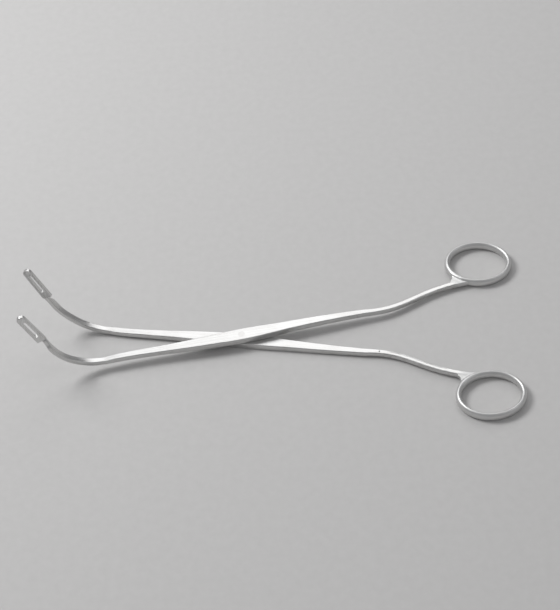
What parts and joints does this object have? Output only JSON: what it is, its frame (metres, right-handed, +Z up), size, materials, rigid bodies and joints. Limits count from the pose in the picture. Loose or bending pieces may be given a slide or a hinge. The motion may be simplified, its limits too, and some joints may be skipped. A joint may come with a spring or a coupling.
{
  "type": "ring-handled grasping forceps",
  "caption": "Long slender steel grasping forceps with two finger rings, crossed halves on a rivet, and windowed serrated jaws that curve upward.",
  "frame": {"origin": "on the pivot axis, in the flat underside of the lower half's joint", "axes": "+Z up along the pivot axis, +X along the middle line towards the finger rings, jaws towards -X and curving up; +Y towards the upper half's finger ring"},
  "size_m": [0.2253, 0.1068, 0.042],
  "materials": {
    "satin_steel": "satin-polished stainless steel",
    "rivet_steel": "ground stainless steel"
  },
  "bodies": {
    "lower": {"lower_half": "satin_steel"},
    "upper": {"upper_half": "satin_steel", "pivot_rivet": "rivet_steel"}
  },
  "joints": [
    {"name": "pivot", "type": "hinge", "parent": "lower", "child": "upper", "pos_m": [0, 0, 0.0032], "axis": [0, 0, 1], "range_deg": [-16.2, 24]}
  ]
}
